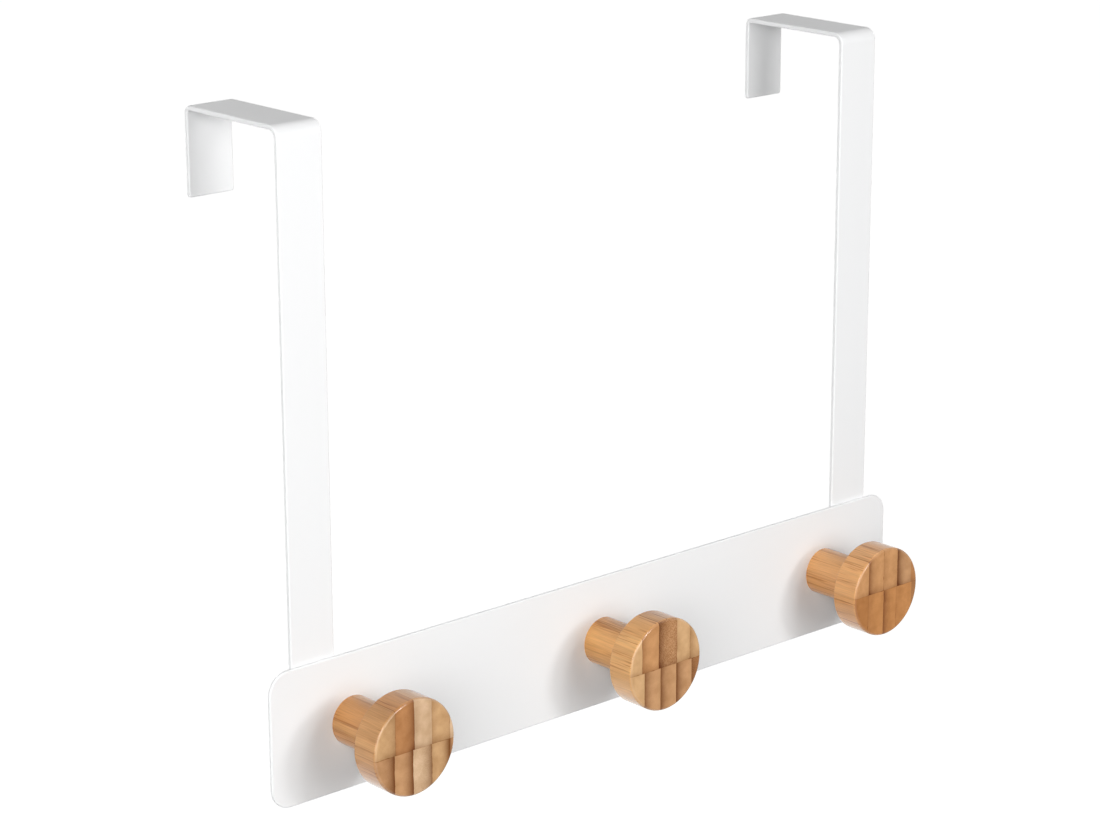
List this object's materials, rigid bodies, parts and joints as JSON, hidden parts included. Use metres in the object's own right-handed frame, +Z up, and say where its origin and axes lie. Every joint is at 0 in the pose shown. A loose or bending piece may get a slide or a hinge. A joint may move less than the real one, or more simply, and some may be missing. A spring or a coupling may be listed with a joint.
{
  "type": "over door hook",
  "caption": "Flat steel plate with round wooden knobs on short stems, hung by flat straps that fold over the top edge of a door.",
  "frame": {"origin": "on the door's top edge, midway between the two straps and in the middle of the gap for the door", "axes": "+X along the plate to the right of someone facing the knobs, +Y through the door away from the knobs, +Z up"},
  "size_m": [0.305, 0.0873, 0.2368],
  "materials": {
    "white_powder_coat": "satin powder coat",
    "bamboo": "oiled satin",
    "zinc_plated_steel": "bright zinc plate"
  },
  "bodies": {
    "root": {"back_plate": "white_powder_coat", "left_door_strap": "white_powder_coat", "right_door_strap": "white_powder_coat", "left_knob": "bamboo", "middle_knob": "bamboo", "right_knob": "bamboo", "left_knob_screw": "zinc_plated_steel", "middle_knob_screw": "zinc_plated_steel", "right_knob_screw": "zinc_plated_steel"}
  },
  "joints": []
}
